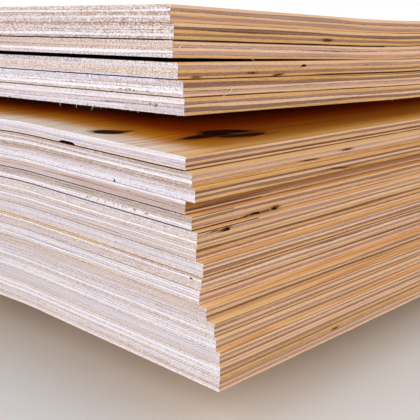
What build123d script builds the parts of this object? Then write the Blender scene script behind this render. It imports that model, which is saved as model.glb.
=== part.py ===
from build123d import *
from math import radians
import os

os.makedirs("parts", exist_ok=True)

# A stack of plywood: two lifts of full sheets, one above the other, kept apart by
# spacer boards and kept off the floor by bearers. X runs along the sheets, Y across
# them and Z is up. The origin is under the middle of the middle bearer.

# Sheets, as sold. The grain of the faces runs along X and turns with each ply
sheet_length = 2440
sheet_width = 1220
ply_count = 5
lower_ply = 3.0
upper_ply = 3.6

# Air between two sheets: the weight above closes the lowest seams
upper_seam = 0.2
loose_seam = 0.8
tight_seam = 0.1
loose_sheets = 10

# End grain lies this much behind the long grain at a sawn edge
end_grain_recess = 0.3

# How far each sheet is pushed towards -Y, from the top of its lift downwards
upper_slides = [-15, -10, -11.5, -4, 3.5, 5]
lower_slides = [7, 17, 21, 6.5, 16, 24, 22.5, 33, 30.5, 27.5, 38, 49.5, 52, 57.5, 58, 57]

# The lower sheets sag past their bearers along both long sides
sag_run = 310
sag_angle = 2.6
sag_radius = 900

# The upper sheets lift a little towards the -X end
curl_run = 500
curl_angle = 1.31
curl_radius = 3000

# From the wedge upwards the upper sheets lift a little more, which opens a wedge
wedge_sheets = 3
wedge_run = 380
wedge_angle = 0.65

# Timber under and between the lifts
bearer_height = 89
bearer_width = 89
bearer_length = 2100
spacer_height = 19
spacer_width = 89
spacer_length = 2100
timber_pitch = 250
timber_rows = 3
timber_chamfer = 2

# Gaps between veneer strips that are open at the near long side: the sheet's place
# in its lift, the ply counted from 0 at the bottom, the distance from the -X end and
# the width
side_gaps_lower = [(6, 3, 47, 13)]
side_gaps_upper = [(4, 3, 219, 11)]
side_gap_depth = 40

# Gaps that are open at the -X end: place, ply, distance from the near side, width
end_gaps_lower = [(9, 3, 15, 5)]
end_gap_depth = 25

# Knotholes in the lowest ply that the saw cut through: place, distance as above and
# diameter, first those at the near long side and then that at the -X end
side_knotholes = [(5, 105.5, 19), (5, 141, 10)]
end_knotholes = [(1, 201, 27)]

# Heights that follow from the sizes above
lower_thickness = ply_count * lower_ply
upper_thickness = ply_count * upper_ply
lower_base = bearer_height
tight_sheets = len(lower_slides) - 1 - loose_sheets
lower_height = (
    len(lower_slides) * lower_thickness + loose_sheets * loose_seam + tight_sheets * tight_seam
)
upper_base = lower_base + lower_height + spacer_height


def trace_half(side, height, middle, base, reach, bends):
    """Draw half of one veneer face, from the middle of the sheet out to its edge.

    side is 1 or -1. The face lies at this height, in a sheet whose middle plane is at
    middle, in a lift whose underside is at base. reach is half the sheet's size and
    how much further its edge lies. Each bend is a tuple of its distance from the
    sheet's nominal edge, its turn in degrees, up being positive, and its radius at
    the base. Returns the last straight line, which ends at the edge.
    """
    half_size, slide = reach
    stops = [half_size - run for run, _, _ in bends] + [half_size + slide]
    straight = Line((0, height), (side * stops[0], height))
    for (_, turn, radius), start, stop in zip(bends, stops, stops[1:]):
        inward = 1 if turn > 0 else -1
        arc = JernArc(straight @ 1, straight % 1, radius - inward * (height - base), side * turn)
        bent = (radius - inward * (middle - base)) * radians(abs(turn))
        straight = Line(arc @ 1, arc @ 1 + arc % 1 * (stop - start - bent))
    return straight


def at_place(mouths, place):
    """Return what opens in the sheet at this place, without the place itself."""
    return [mouth[1:] for mouth in mouths if mouth[0] == place]


def lower_sheet(place):
    """Return one sheet of the lower lift, sagging along both long sides."""
    above_loose = min(place - 1, loose_sheets)
    above_tight = place - 1 - above_loose
    top = lower_base + lower_height - above_loose * loose_seam - above_tight * tight_seam
    underside = top - place * lower_thickness
    middle = underside + lower_thickness / 2
    slide = lower_slides[place - 1]
    sag = [(sag_run, -sag_angle, sag_radius)]
    tips = {}
    with BuildPart() as sheet:
        for ply in range(ply_count):
            low = underside + ply * lower_ply
            high = low + lower_ply
            across = ply % 2
            side_recess = end_grain_recess if across else 0
            end_recess = 0 if across else end_grain_recess
            near = (sheet_width / 2, slide - side_recess)
            far = (sheet_width / 2, -slide - side_recess)
            with BuildSketch(Plane.YZ):
                with BuildLine():
                    near_low = trace_half(-1, low, middle, lower_base, near, sag)
                    near_high = trace_half(-1, high, middle, lower_base, near, sag)
                    far_low = trace_half(1, low, middle, lower_base, far, sag)
                    far_high = trace_half(1, high, middle, lower_base, far, sag)
                    Line(near_low @ 1, near_high @ 1)
                    Line(far_low @ 1, far_high @ 1)
                make_face()
            extrude(amount=sheet_length / 2 - end_recess, both=True)
            tips[ply] = (near_low @ 1, near_low % 1)
        for ply, distance, width in at_place(side_gaps_lower, place):
            tip, outward = tips[ply]
            mouth = Plane(
                origin=(distance - sheet_length / 2, tip.X, tip.Y),
                x_dir=(1, 0, 0),
                z_dir=(0, outward.X, outward.Y),
            )
            with BuildSketch(mouth):
                Rectangle(width, lower_ply, align=(Align.CENTER, Align.MIN))
            extrude(amount=-side_gap_depth, mode=Mode.SUBTRACT)
        for ply, distance, width in at_place(end_gaps_lower, place):
            tip, outward = tips[ply]
            spot = tip - outward * distance
            mouth = Plane(
                origin=(-sheet_length / 2, spot.X, spot.Y),
                x_dir=(0, outward.X, outward.Y),
                z_dir=(-1, 0, 0),
            )
            with BuildSketch(mouth):
                Rectangle(width, lower_ply, align=(Align.CENTER, Align.MIN))
            extrude(amount=-end_gap_depth, mode=Mode.SUBTRACT)
        tip, outward = tips[0]
        knots = [
            (distance - sheet_length / 2, tip, diameter)
            for distance, diameter in at_place(side_knotholes, place)
        ]
        knots += [
            (-sheet_length / 2, tip - outward * distance, diameter)
            for distance, diameter in at_place(end_knotholes, place)
        ]
        for along, spot, diameter in knots:
            underface = Plane(
                origin=(along, spot.X, spot.Y),
                x_dir=(1, 0, 0),
                z_dir=(0, outward.Y, -outward.X),
            )
            with BuildSketch(underface):
                Circle(diameter / 2)
            extrude(amount=lower_ply, mode=Mode.SUBTRACT)
    return sheet


def upper_sheet(place):
    """Return one sheet of the upper lift, rising towards its -X end."""
    count = len(upper_slides)
    underside = upper_base + (count - place) * (upper_thickness + upper_seam)
    middle = underside + upper_thickness / 2
    slide = upper_slides[place - 1]
    curl = [(curl_run, curl_angle, curl_radius)]
    if place <= wedge_sheets:
        curl.append((wedge_run, wedge_angle, curl_radius))
    tips = {}
    with BuildPart() as sheet:
        for ply in range(ply_count):
            low = underside + ply * upper_ply
            high = low + upper_ply
            across = ply % 2
            side_recess = end_grain_recess if across else 0
            end_recess = 0 if across else end_grain_recess
            end = (sheet_length / 2, -end_recess)
            with BuildSketch(Plane.XZ.offset(slide)):
                with BuildLine():
                    near_low = trace_half(-1, low, middle, upper_base, end, curl)
                    near_high = trace_half(-1, high, middle, upper_base, end, curl)
                    far_low = trace_half(1, low, middle, upper_base, end, [])
                    far_high = trace_half(1, high, middle, upper_base, end, [])
                    Line(near_low @ 1, near_high @ 1)
                    Line(far_low @ 1, far_high @ 1)
                make_face()
            extrude(amount=sheet_width / 2 - side_recess, both=True)
            tips[ply] = (near_low @ 1, near_low % 1)
        for ply, distance, width in at_place(side_gaps_upper, place):
            tip, outward = tips[ply]
            spot = tip - outward * distance
            mouth = Plane(
                origin=(spot.X, -sheet_width / 2 - slide, spot.Y),
                x_dir=(-outward.X, 0, -outward.Y),
                z_dir=(0, -1, 0),
            )
            with BuildSketch(mouth):
                Rectangle(width, upper_ply, align=(Align.CENTER, Align.MIN))
            extrude(amount=-side_gap_depth, mode=Mode.SUBTRACT)
    return sheet


def timber(length, width, height, row, base):
    """Return one bearer or spacer, laid along X in its row."""
    with BuildPart() as board:
        across = (row - (timber_rows - 1) / 2) * timber_pitch
        with BuildSketch(Plane.YZ):
            with Locations((across, base + height / 2)):
                Rectangle(width, height)
        extrude(amount=length / 2, both=True)
        chamfer(board.edges().filter_by(Axis.X), length=timber_chamfer)
    return board


def keep(piece, name):
    """Label a finished piece and write it."""
    piece.part.label = name
    export_step(piece.part, f"parts/{name}.step")


# Sheets are numbered from the top of the stack
for place in range(1, len(upper_slides) + 1):
    keep(upper_sheet(place), f"sheet_{place:02d}")

for place in range(1, len(lower_slides) + 1):
    keep(lower_sheet(place), f"sheet_{len(upper_slides) + place:02d}")

for row in range(timber_rows):
    spacer = timber(spacer_length, spacer_width, spacer_height, row, upper_base - spacer_height)
    keep(spacer, f"spacer_{row + 1}")
    bearer = timber(bearer_length, bearer_width, bearer_height, row, 0)
    keep(bearer, f"bearer_{row + 1}")
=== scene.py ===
"""The looks of a stack of plywood sheets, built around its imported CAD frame, in metres."""

import logging
import math
import random
from dataclasses import dataclass, field
from enum import Enum
from typing import Callable, Optional, Sequence, Union

import bpy
from mathutils import Matrix, Vector

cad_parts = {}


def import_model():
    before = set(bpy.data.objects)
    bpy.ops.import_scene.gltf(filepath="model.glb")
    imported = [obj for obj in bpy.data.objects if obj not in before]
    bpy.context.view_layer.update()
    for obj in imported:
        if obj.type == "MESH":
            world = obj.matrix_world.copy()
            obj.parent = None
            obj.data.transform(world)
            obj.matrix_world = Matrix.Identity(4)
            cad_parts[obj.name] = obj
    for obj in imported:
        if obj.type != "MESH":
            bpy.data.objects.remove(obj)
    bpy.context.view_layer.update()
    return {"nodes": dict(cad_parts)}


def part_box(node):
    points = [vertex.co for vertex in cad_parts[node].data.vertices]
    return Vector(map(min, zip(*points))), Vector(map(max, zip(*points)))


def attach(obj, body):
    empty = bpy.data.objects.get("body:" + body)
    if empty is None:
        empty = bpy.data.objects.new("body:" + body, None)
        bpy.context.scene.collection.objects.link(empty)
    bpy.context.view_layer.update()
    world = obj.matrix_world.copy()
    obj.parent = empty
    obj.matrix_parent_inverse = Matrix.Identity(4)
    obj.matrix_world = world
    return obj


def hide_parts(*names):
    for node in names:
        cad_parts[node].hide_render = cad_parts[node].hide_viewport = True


LOG = logging.getLogger("plywood_stack")
MM = 0.001
PLIES = 5

# Places along a flat sheet, and heights in it, that are closer than these are the same
SAME_PLACE = 1e-6
SAME_HEIGHT = 0.05 * MM

# A face looks along an axis above the first cosine, and two meet sharply below the second
LOOKS_ALONG = 0.9
SHARP = 0.5

# Further along an edge than any sheet reaches, in metres
ANYWHERE = 9.0

Socket = bpy.types.NodeSocket
Number = Union[float, Socket]


class Side(Enum):
    """Which side of a sheet a face belongs to; the value is its material slot."""

    FACE = 0
    LONG_EDGE = 1
    END_EDGE = 2
    CAVITY = 3


class Axis(Enum):
    """An axis of the stack, named by its place in a vector."""

    X = 0
    Y = 1
    Z = 2

    def vector(self, length: float) -> Vector:
        """Return a vector of this length along the axis."""
        parts = [0.0, 0.0, 0.0]
        parts[self.value] = length
        return Vector(parts)


class Element(Enum):
    """What is picked on a mesh; the value is the name of the mesh's list of them."""

    VERT = "vertices"
    EDGE = "edges"
    FACE = "polygons"


def linear(red: int, green: int, blue: int) -> tuple[float, float, float, float]:
    """Turn a colour as seen on a screen, 0 to 255, into the linear one a shader takes.

    Args:
        red: Red, 0 to 255.
        green: Green, 0 to 255.
        blue: Blue, 0 to 255.

    Returns:
        The linear colour with full alpha.
    """

    def channel(value: int) -> float:
        """Return one linear channel."""
        part = value / 255
        return part / 12.92 if part <= 0.04045 else ((part + 0.055) / 1.055) ** 2.4

    return channel(red), channel(green), channel(blue), 1.0


class NodePad:
    """A material's node tree with short calls for the nodes that the finishes use."""

    specular: float = 0.25
    bump_strength: float = 0.6

    def __init__(self, name: str) -> None:
        """Start a material with one principled shader.

        Args:
            name: The material's name.
        """
        self.material = bpy.data.materials.new(name)
        self.material.use_nodes = True
        self.tree = self.material.node_tree
        self.shader = self.tree.nodes["Principled BSDF"]

    def add(self, kind: str, **settings: object) -> bpy.types.Node:
        """Add a node and set its properties.

        Args:
            kind: The node's type name.
            settings: Properties to set on it.

        Returns:
            The new node.
        """
        node = self.tree.nodes.new(kind)
        for key, value in settings.items():
            setattr(node, key, value)
        return node

    def feed(self, socket: Socket, value: object) -> None:
        """Link a socket to another one, or give it a constant.

        Args:
            socket: The input to fill.
            value: Another node's output, a number or a colour.
        """
        if isinstance(value, bpy.types.NodeSocket):
            self.tree.links.new(value, socket)
        else:
            socket.default_value = value

    def math(self, operation: str, first: Number, second: Number = 0.0) -> Socket:
        """Return the result of a math node."""
        node = self.add("ShaderNodeMath", operation=operation)
        self.feed(node.inputs[0], first)
        self.feed(node.inputs[1], second)
        return node.outputs[0]

    def product(self, *factors: Number) -> Socket:
        """Return the product of two or more numbers."""
        result = factors[0]
        for factor in factors[1:]:
            result = self.math("MULTIPLY", result, factor)
        return result

    def weigh(self, *parts: tuple[Number, float]) -> Socket:
        """Return the sum of some values, each times its weight."""
        result = self.math("MULTIPLY", *parts[0])
        for value, weight in parts[1:]:
            result = self.math("ADD", result, self.math("MULTIPLY", value, weight))
        return result

    def spot(self, *parts: tuple[Number, float]) -> Socket:
        """Return a place for a texture, from up to three values, each times its scale."""
        node = self.add("ShaderNodeCombineXYZ")
        for socket, (value, scale) in zip(node.inputs, parts):
            self.feed(socket, self.math("MULTIPLY", value, scale))
        return node.outputs[0]

    def split(self, vector: Socket) -> tuple[Socket, Socket, Socket]:
        """Return a vector's three numbers."""
        node = self.add("ShaderNodeSeparateXYZ")
        self.feed(node.inputs[0], vector)
        return node.outputs[0], node.outputs[1], node.outputs[2]

    def attribute(self, name: str) -> Socket:
        """Return a vector attribute of the mesh."""
        return self.add("ShaderNodeAttribute", attribute_name=name).outputs["Vector"]

    def noise(
        self, place: Socket, detail: float = 2.0, rough: float = 0.5, bend: float = 0.0
    ) -> Socket:
        """Return smooth noise, about 0.2 to 0.8, read at a place that is already scaled.

        Args:
            place: Where to read it; one unit is one blob.
            detail: How many finer octaves are added.
            rough: How strong the finer octaves are.
            bend: How much the noise distorts itself.

        Returns:
            The noise value.
        """
        node = self.add("ShaderNodeTexNoise", noise_dimensions="3D")
        settings = {
            "Vector": place, "Scale": 1.0, "Detail": detail, "Roughness": rough, "Distortion": bend
        }
        for name, value in settings.items():
            self.feed(node.inputs[name], value)
        return node.outputs[0]

    def chance(self, *parts: tuple[Number, float]) -> Socket:
        """Return a random number from 0 to 1 that is fixed for each place."""
        node = self.add("ShaderNodeTexWhiteNoise", noise_dimensions="3D")
        self.feed(node.inputs["Vector"], self.spot(*parts))
        return node.outputs["Value"]

    def band(self, value: Number, low: float, high: float) -> Socket:
        """Return 0 below low, 1 above high and a smooth rise between; high may be below low."""
        node = self.add("ShaderNodeMapRange", interpolation_type="SMOOTHSTEP")
        for name, part in (("Value", value), ("From Min", low), ("From Max", high)):
            self.feed(node.inputs[name], part)
        return node.outputs["Result"]

    def within(self, value: Number, low: float, high: float, soft: float) -> Socket:
        """Return 1 between low and high and 0 outside, with soft ends inside the range."""
        rise = self.band(value, low, low + soft)
        return self.product(rise, self.band(value, high, high - soft))

    def equals(self, value: Socket, number: float) -> Socket:
        """Return 1 where a value is a whole number, else 0."""
        node = self.add("ShaderNodeMath", operation="COMPARE")
        for socket, part in zip(node.inputs, (value, number, 0.5)):
            self.feed(socket, part)
        return node.outputs[0]

    def blend(self, share: Number, first: object, second: object, mode: str = "MIX") -> Socket:
        """Return a colour between two, by share, in one of the mix node's modes."""
        node = self.add("ShaderNodeMix", data_type="RGBA", blend_type=mode)
        for place, value in ((0, share), (6, first), (7, second)):
            self.feed(node.inputs[place], value)
        return node.outputs[2]

    def darken(self, share: Number, colour: object, tint: object) -> Socket:
        """Return a colour multiplied by a tint, by share."""
        return self.blend(share, colour, tint, "MULTIPLY")

    def ramp(self, value: Socket, stops: Sequence[tuple[float, tuple]]) -> Socket:
        """Return the colour of a ramp.

        Args:
            value: Where on the ramp.
            stops: Places and colours, in order.

        Returns:
            The colour.
        """
        node = self.add("ShaderNodeValToRGB")
        self.feed(node.inputs[0], value)
        elements = node.color_ramp.elements
        while len(elements) < len(stops):
            elements.new(0.5)
        for element, (place, colour) in zip(elements, stops):
            element.position = place
            element.color = colour
        return node.outputs[0]

    def finish(
        self, colour: Socket, height: Socket, depth: float, roughness: float
    ) -> bpy.types.Material:
        """Fill in the shader.

        Args:
            colour: The base colour.
            height: A height from 0 to 1 for the bump.
            depth: How deep the bump is, in metres.
            roughness: The surface's roughness.

        Returns:
            The finished material.
        """
        self.feed(self.shader.inputs["Base Color"], colour)
        self.shader.inputs["Roughness"].default_value = roughness
        self.shader.inputs["Specular IOR Level"].default_value = self.specular
        bump = self.add("ShaderNodeBump")
        bump.inputs["Distance"].default_value = depth
        bump.inputs["Strength"].default_value = self.bump_strength
        self.feed(bump.inputs["Height"], height)
        self.feed(self.shader.inputs["Normal"], bump.outputs[0])
        return self.material


@dataclass(frozen=True)
class Mark:
    """A dark knot or stain, lens-shaped, on one surface of one sheet.

    along and across are the middle in board coordinates, and half_along and
    half_across its half sizes, all in metres. On an edge, across counts plies.
    tilt is how far across it climbs over one unit along.
    """

    sheet: int
    along: float
    across: float
    half_along: float
    half_across: float
    depth: float = 1.0
    tilt: float = 0.0


@dataclass(frozen=True)
class Line:
    """A coloured strip along an edge, between two heights in plies and two places."""

    sheet: int
    low: float
    high: float
    colour: tuple
    share: float = 0.8
    start: float = -ANYWHERE
    stop: float = ANYWHERE
    soft: float = 0.004


def lines_from(rows: Sequence[tuple], place: Callable[[float], float]) -> tuple[Line, ...]:
    """Return the lines of a table.

    Args:
        rows: For each line its sheet, low, high, colour and share and, where it has
            ends, its start and stop in millimetres from the corner and how soft they are.
        place: Turns such a distance into a board coordinate.

    Returns:
        The lines, in the same order.
    """
    lines = []
    for sheet, low, high, colour, share, *ends in rows:
        span = [place(end) for end in ends[:2]]
        lines.append(Line(sheet, low, high, colour, share, *span, *ends[2:]))
    return tuple(lines)


@dataclass
class EdgeLayers:
    """What a sawn edge shows at a point: the sheet, the ply and how near its glue line is."""

    pad: NodePad
    side: Side
    sway: float
    along: Socket = field(init=False)
    layer: Socket = field(init=False)
    sheet: Socket = field(init=False)
    ply: Socket = field(init=False)
    crossband: Socket = field(init=False)
    inside: Socket = field(init=False)
    glue: Socket = field(init=False)

    def __post_init__(self) -> None:
        """Work out the layers, whose borders wander by sway plies about their true height."""
        pad = self.pad
        board = pad.split(pad.attribute("board"))
        self.along = board[0] if self.side is Side.LONG_EDGE else board[1]
        self.layer, self.sheet, _ = pad.split(pad.attribute("layer"))
        drift = pad.math("SUBTRACT", self.noise((4.0, 1.37, 0.75), 1.0), 0.5)
        inner = pad.within(self.layer, 0.0, float(PLIES), 0.8)
        level = pad.math("ADD", self.layer, pad.product(drift, self.sway, inner))
        self.ply = pad.math("FLOOR", level)
        self.crossband = pad.equals(pad.math("MODULO", self.ply, 2.0), 1.0)
        self.inside = pad.math("FRACT", level)
        to_line = pad.math("MINIMUM", self.inside, pad.math("SUBTRACT", 1.0, self.inside))
        pick = pad.chance((pad.math("ROUND", level), 1.0), (self.sheet, 1.0), (1.0, 17.0))
        strength = pad.band(pick, 0.3, 0.95)
        self.glue = pad.product(pad.band(to_line, 0.2, 0.04), strength, inner)

    def noise(
        self, scales: Sequence[float], detail: float, rough: float = 0.5, bend: float = 0.0
    ) -> Socket:
        """Return noise with its own scale along the edge, from sheet to sheet and by layer."""
        places = zip((self.along, self.sheet, self.layer), scales)
        return self.pad.noise(self.pad.spot(*places), detail, rough, bend)

    def pick(self, seed: float) -> Socket:
        """Return a random number from 0 to 1 that is fixed for each ply of each sheet."""
        return self.pad.chance((self.ply, 1.0), (self.sheet, 1.0), (1.0, seed))


@dataclass(frozen=True)
class LongEdgeFinish:
    """The sawn long side: long grain runs along it and the crossbands show end grain."""

    name: str = "sawn_long_side"
    brown: tuple = linear(172, 118, 68)
    gold: tuple = linear(224, 172, 100)
    tan: tuple = linear(226, 184, 136)
    pink: tuple = linear(238, 196, 160)
    pale: tuple = linear(250, 220, 188)
    band_dark: tuple = linear(104, 70, 52)
    band_brown: tuple = linear(150, 108, 86)
    band_lilac: tuple = linear(182, 142, 124)
    band_pale: tuple = linear(216, 176, 154)
    pore: tuple = linear(120, 74, 44)
    glue: tuple = linear(92, 48, 22)
    lines: tuple = ()
    marks: tuple = ()

    def build(self) -> bpy.types.Material:
        """Return the finished material."""
        pad = NodePad(self.name)
        edge = EdgeLayers(pad, Side.LONG_EDGE, 1.5)
        streak = edge.noise((3.0, 3.7, 2.3), 4.0, 0.62, 0.3)
        dash = edge.noise((60.0, 5.1, 6.0), 4.0, 0.65)
        speck = edge.noise((420.0, 9.1, 4.0), 2.0, 0.7)
        patch = edge.noise((12.0, 6.1, 1.6), 3.0, 0.6)
        tone = pad.weigh(
            (edge.pick(31.0), 0.6), (streak, 0.75), (dash, 0.55), (speck, 0.3), (patch, 0.4)
        )
        woods = (self.brown, self.gold, self.tan, self.pink, self.pale)
        wood = pad.ramp(
            pad.math("SUBTRACT", tone, 0.81), tuple(zip((0.05, 0.25, 0.45, 0.7, 0.95), woods))
        )
        low_down = pad.band(edge.sheet, 13.0, 22.0)
        high_up = pad.band(edge.sheet, 6.9, 6.1)
        tone = pad.weigh(
            (edge.pick(11.0), 0.7),
            (patch, 0.5),
            (streak, 0.3),
            (dash, 0.3),
            (speck, 0.45),
            (low_down, 0.12),
            (high_up, 0.07),
        )
        bands = (self.band_dark, self.band_brown, self.band_lilac, self.band_pale)
        band = pad.ramp(pad.math("SUBTRACT", tone, 0.66), tuple(zip((0.0, 0.3, 0.6, 0.95), bands)))
        colour = pad.blend(edge.crossband, wood, band)
        colour = add_lines(pad, edge, colour, self.lines, streak)
        colour = pad.darken(pad.product(pad.band(speck, 0.46, 0.3), 0.3), colour, self.pore)
        # Painted seam shadow: the lowest part of each long edge darkened with the glue colour, at
        # the seam with the sheet below.
        painted_seam_shadow = pad.product(pad.band(edge.layer, 0.35, 0.05), pad.band(patch, 0.35, 0.6), 0.75)
        colour = pad.darken(painted_seam_shadow, colour, self.glue)
        glue = pad.product(edge.glue, pad.band(dash, 0.36, 0.56), 0.85)
        colour = pad.darken(glue, colour, self.glue)
        tints = (linear(150, 94, 52), linear(58, 30, 16))
        colour = add_marks(pad, edge, colour, self.marks, tints)
        fibre = pad.blend(edge.crossband, dash, speck)
        height = pad.math("SUBTRACT", fibre, pad.product(glue, 0.6))
        return pad.finish(colour, height, 0.3 * MM, 0.72)


@dataclass(frozen=True)
class EndEdgeFinish:
    """The sawn short end: dotted end grain, and some crossbands as smooth pale strips. Its colours
    are paler and cooler than the long side's, partly the end grain's own colour and partly painted
    light for the brighter light on the short ends.
    """

    name: str = "sawn_short_end"
    # Paler and cooler than the long side: partly the end grain's own colour, partly painted light
    # for the brighter light on the short ends.
    pore: tuple = linear(142, 112, 100)
    brown: tuple = linear(192, 164, 146)
    pink: tuple = linear(220, 196, 186)
    tan: tuple = linear(230, 210, 192)
    lilac: tuple = linear(224, 214, 224)
    cream: tuple = linear(246, 236, 232)
    strip: tuple = linear(250, 244, 248)
    strip_shade: tuple = linear(216, 206, 214)
    glue: tuple = linear(120, 96, 80)
    lines: tuple = ()
    marks: tuple = ()

    def build(self) -> bpy.types.Material:
        """Return the finished material."""
        pad = NodePad(self.name)
        edge = EdgeLayers(pad, Side.END_EDGE, 1.5)
        upper = pad.band(edge.sheet, 6.9, 3.0)
        stretched = pad.product(edge.along, pad.math("SUBTRACT", 1.0, pad.product(upper, 0.3)))
        spot = pad.spot((stretched, 620.0), (edge.sheet, 8.3), (edge.layer, 3.2))
        dots = pad.noise(spot, 2.0, 0.75)
        cloud = edge.noise((16.0, 2.9, 1.4), 4.0, 0.65)
        silk = edge.noise((4.0, 4.3, 3.0), 4.0, 0.6, 0.3)
        tone = pad.weigh(
            (edge.pick(5.0), 0.75), (cloud, 0.9), (silk, 0.3), (dots, 0.35), (edge.sheet, 0.018)
        )
        woods = (self.brown, self.pink, self.tan, self.lilac, self.cream)
        colour = pad.ramp(
            pad.math("SUBTRACT", tone, 0.95), tuple(zip((0.0, 0.25, 0.45, 0.65, 0.95), woods))
        )
        tone = pad.weigh((edge.pick(23.0), 0.55), (silk, 0.7), (cloud, 0.2))
        smooth = pad.blend(pad.band(tone, 0.85, 0.6), self.strip, self.strip_shade)
        core = pad.product(pad.within(edge.inside, 0.0, 1.0, 0.3), pad.band(tone, 0.42, 0.62))
        core = pad.product(edge.crossband, core)
        colour = pad.blend(core, colour, smooth)
        colour = add_lines(pad, edge, colour, self.lines, cloud)
        rough = pad.math("SUBTRACT", 1.0, pad.product(core, 0.5))
        rough = pad.product(rough, pad.weigh((upper, 0.4), (1.0, 0.66)))
        colour = pad.blend(pad.product(pad.band(dots, 0.5, 0.34), rough), colour, self.pore)
        colour = pad.blend(pad.product(pad.band(dots, 0.52, 0.66), rough), colour, self.strip)
        glue = pad.product(edge.glue, pad.band(cloud, 0.4, 0.6), 0.7)
        colour = pad.darken(glue, colour, self.glue)
        tints = (linear(156, 138, 124), linear(58, 46, 38))
        colour = add_marks(pad, edge, colour, self.marks, tints)
        fibre = pad.blend(edge.crossband, dots, silk)
        height = pad.math("SUBTRACT", fibre, pad.product(glue, 0.6))
        return pad.finish(colour, height, 0.25 * MM, 0.7)


@dataclass(frozen=True)
class FaceFinish:
    """The face veneer: straight grain along the sheet that swings round its knots.

    Its colour goes from that at the long sides or the short ends to a warmer one further in, then
    to a darker one and at last to that of its middle. Where these differ, as in the gap between
    the lifts, the fades are painted light: the warm tints are painted warm bounce light and the
    darker ones painted shade, growing darker away from the edges. Each fade has two distances from
    the edge between which it takes place.
    """

    name: str = "open_face"
    side: tuple = linear(238, 200, 146)
    end: tuple = linear(240, 208, 164)
    # Painted light for a face in the gap: a warm tint for painted bounce light near the edges,
    # then darker tints for painted shade towards the middle.
    warm_side: tuple = linear(236, 194, 136)
    warm_end: tuple = linear(236, 194, 136)
    inner_glow_and_shade: tuple = linear(236, 194, 136)
    gap_shade: tuple = linear(236, 194, 136)
    grain: tuple = linear(216, 176, 138)
    knot_core: tuple = linear(18, 8, 5)
    knot_rim: tuple = linear(120, 62, 22)
    side_fades: tuple = ((0.006, 0.04), (0.05, 0.14), (0.1, 0.28))
    end_fades: tuple = ((0.015, 0.078), (0.072, 0.13), (0.1, 0.22))
    half_length: float = 1.22
    half_width: float = 0.61
    marks: tuple = ()

    def build(self) -> bpy.types.Material:
        """Return the finished material."""
        pad = NodePad(self.name)
        along, across, _ = pad.split(pad.attribute("board"))
        _, sheet, _ = pad.split(pad.attribute("layer"))
        sway = pad.noise(pad.spot((along, 1.6), (across, 3.0), (sheet, 1.0)), 2.0)
        bent = pad.weigh((across, 1.0), (sway, 0.07))
        for mark in self.marks:
            ahead = pad.math("SUBTRACT", along, mark.along)
            above = pad.math("SUBTRACT", across, mark.across)
            side = pad.math("DIVIDE", ahead, mark.half_along * 1.7)
            rise = pad.math("DIVIDE", above, mark.half_across * 2.6)
            square = pad.weigh((pad.product(side, side), -1.0), (pad.product(rise, rise), -1.0))
            pull = pad.product(pad.math("EXPONENT", square), above)
            bent = pad.math("SUBTRACT", bent, pad.math("MULTIPLY", pull, 0.8))
        rings = pad.noise(pad.spot((along, 1.2), (bent, 90.0), (sheet, 1.0)), 4.0, 0.6)
        fine = pad.noise(pad.spot((along, 14.0), (bent, 900.0), (sheet, 1.0)), 2.0, 0.6)
        tone = pad.weigh((rings, 0.75), (fine, 0.25))
        from_end = pad.math("SUBTRACT", self.half_length, pad.math("ABSOLUTE", along))
        from_side = pad.math("SUBTRACT", self.half_width, pad.math("ABSOLUTE", across))
        # Paler near the short ends, fading out within about 90 mm of them.
        pale_end_share = pad.product(pad.band(from_end, 0.09, 0.02), pad.band(from_side, -0.02, 0.08))
        colour = pad.blend(pale_end_share, self.side, self.end)
        # Painted warm bounce light near the edges, then painted shade further in, each faded in
        # from the long sides and the short ends.
        warm = pad.blend(pad.band(from_side, 0.03, 0.12), self.warm_side, self.warm_end)
        tints = (warm, self.inner_glow_and_shade, self.gap_shade)
        for tint, by_side, by_end in zip(tints, self.side_fades, self.end_fades):
            inward = pad.product(pad.band(from_side, *by_side), pad.band(from_end, *by_end))
            colour = pad.blend(inward, colour, tint)
        colour = pad.darken(pad.band(tone, 0.54, 0.36), colour, self.grain)
        for mark in self.marks:
            shape = lens(pad, mark, along, across, rings, 1.0)
            rim = pad.product(pad.band(shape, 1.7, 0.8), 0.8 * mark.depth)
            colour = pad.blend(rim, colour, self.knot_rim)
            core = pad.product(pad.band(shape, 1.06, 0.9), mark.depth)
            colour = pad.blend(core, colour, self.knot_core)
        return pad.finish(colour, tone, 0.15 * MM, 0.66)


@dataclass(frozen=True)
class CavityFinish:
    """The torn inside of a gap or knothole, coloured near black as painted shade for its depth."""

    name: str = "open_gap"
    # Painted shade: the opening's inside is coloured near black.
    dark: tuple = linear(34, 18, 10)
    light: tuple = linear(84, 50, 28)

    def build(self) -> bpy.types.Material:
        """Return the finished material."""
        pad = NodePad(self.name)
        along, across, up = pad.split(pad.attribute("board"))
        torn = pad.noise(pad.spot((along, 400.0), (across, 400.0), (up, 900.0)), 3.0, 0.7)
        colour = pad.ramp(torn, ((0.35, self.dark), (0.75, self.light)))
        return pad.finish(colour, torn, 0.5 * MM, 0.9)


@dataclass(frozen=True)
class SplinterFinish:
    """A torn sliver of veneer, paler than the boards, with fibres along it."""

    name: str = "torn_splinter"
    dark: tuple = linear(206, 176, 146)
    light: tuple = linear(250, 234, 214)

    def build(self) -> bpy.types.Material:
        """Return the finished material."""
        pad = NodePad(self.name)
        along, across, up = pad.split(pad.add("ShaderNodeTexCoord").outputs["Object"])
        fibre = pad.noise(pad.spot((along, 1500.0), (across, 1500.0), (up, 500.0)), 2.0, 0.6)
        colour = pad.ramp(fibre, ((0.35, self.dark), (0.6, self.light)))
        return pad.finish(colour, fibre, 0.1 * MM, 0.7)


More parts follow.
